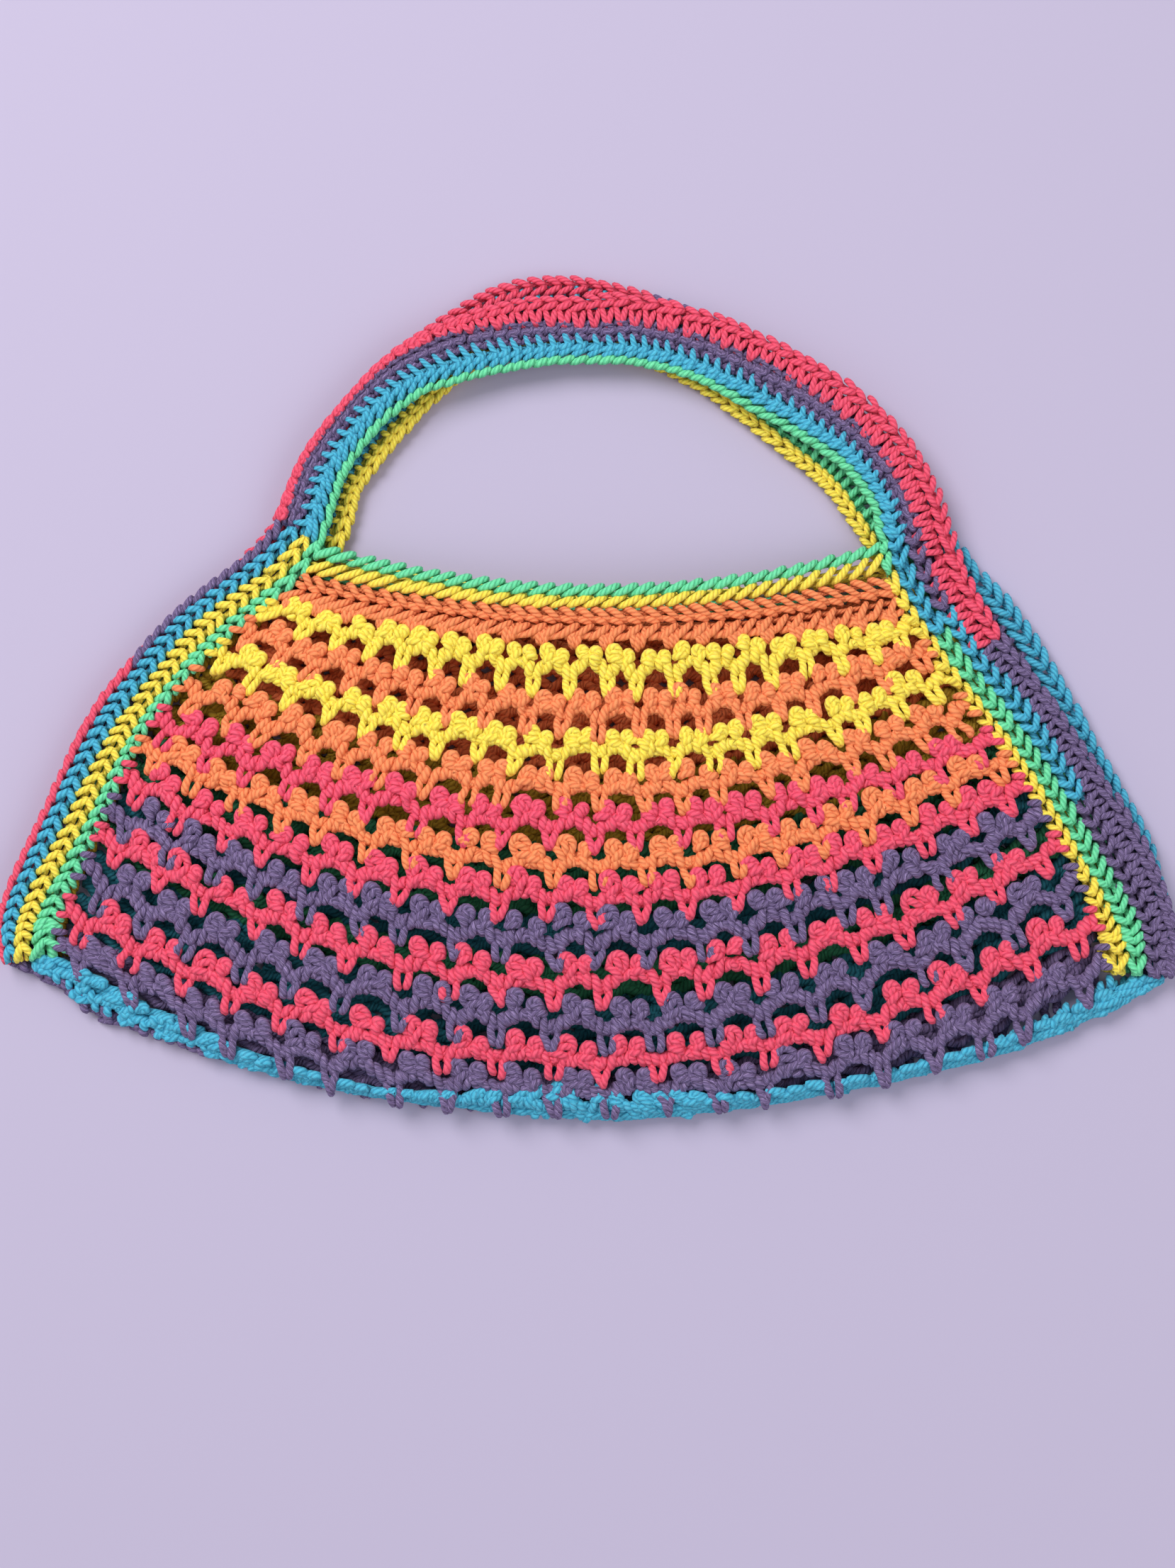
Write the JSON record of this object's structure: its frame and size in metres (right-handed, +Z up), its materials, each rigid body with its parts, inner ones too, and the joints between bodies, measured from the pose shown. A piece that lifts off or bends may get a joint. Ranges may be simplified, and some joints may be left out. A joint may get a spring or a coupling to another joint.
{
  "type": "crochet bag",
  "caption": "Striped crochet handbag lying flat, a hollow openwork pouch with a handle on each panel.",
  "frame": {"origin": "on the ground under the middle of the bag's outline, as it lies on its back", "axes": "+X to the right across the mouth, +Y from the bottom fold to the handles, +Z up from the ground, out of the front panel"},
  "size_m": [0.414, 0.3018, 0.0235],
  "materials": {
    "purple_yarn": "matt, slightly fuzzy plied yarn",
    "pink_yarn": "matt, slightly fuzzy plied yarn",
    "orange_yarn": "matt, slightly fuzzy plied yarn",
    "yellow_yarn": "matt, slightly fuzzy plied yarn",
    "mint_yarn": "matt, slightly fuzzy plied yarn",
    "turquoise_yarn": "matt, slightly fuzzy plied yarn"
  },
  "bodies": {
    "root": {"front_row_01": "purple_yarn", "front_row_02": "pink_yarn", "front_row_03": "purple_yarn", "front_row_04": "pink_yarn", "front_row_05": "purple_yarn", "front_row_06": "pink_yarn", "front_row_07": "orange_yarn", "front_row_08": "pink_yarn", "front_row_09": "orange_yarn", "front_row_10": "yellow_yarn", "front_row_11": "orange_yarn", "front_row_12": "yellow_yarn", "front_mouth_orange": "orange_yarn", "front_mouth_yellow": "yellow_yarn", "front_mouth_mint": "mint_yarn", "front_left_mint": "mint_yarn", "front_handle_mint": "mint_yarn", "front_right_yellow": "yellow_yarn", "front_left_yellow": "yellow_yarn", "front_handle_turquoise": "turquoise_yarn", "front_right_mint": "mint_yarn", "front_left_turquoise": "turquoise_yarn", "front_handle_purple": "purple_yarn", "front_right_turquoise": "turquoise_yarn", "front_left_purple": "purple_yarn", "front_handle_pink": "pink_yarn", "front_right_purple": "purple_yarn", "back_row_01": "purple_yarn", "back_row_02": "turquoise_yarn", "back_row_03": "turquoise_yarn", "back_row_04": "mint_yarn", "back_row_05": "turquoise_yarn", "back_row_06": "mint_yarn", "back_row_07": "mint_yarn", "back_row_08": "yellow_yarn", "back_row_09": "yellow_yarn", "back_row_10": "orange_yarn", "back_row_11": "orange_yarn", "back_row_12": "pink_yarn", "back_mouth_orange": "orange_yarn", "back_mouth_yellow": "mint_yarn", "back_mouth_mint": "yellow_yarn", "back_left_yellow": "yellow_yarn", "back_handle_yellow": "yellow_yarn", "back_right_yellow": "yellow_yarn", "back_left_mint": "mint_yarn", "back_handle_mint": "mint_yarn", "back_right_mint": "mint_yarn", "back_left_purple": "purple_yarn", "back_handle_purple": "purple_yarn", "back_right_purple": "purple_yarn", "back_left_turquoise": "turquoise_yarn", "back_handle_pink": "pink_yarn", "back_right_turquoise": "turquoise_yarn", "base_row": "turquoise_yarn"}
  },
  "joints": []
}
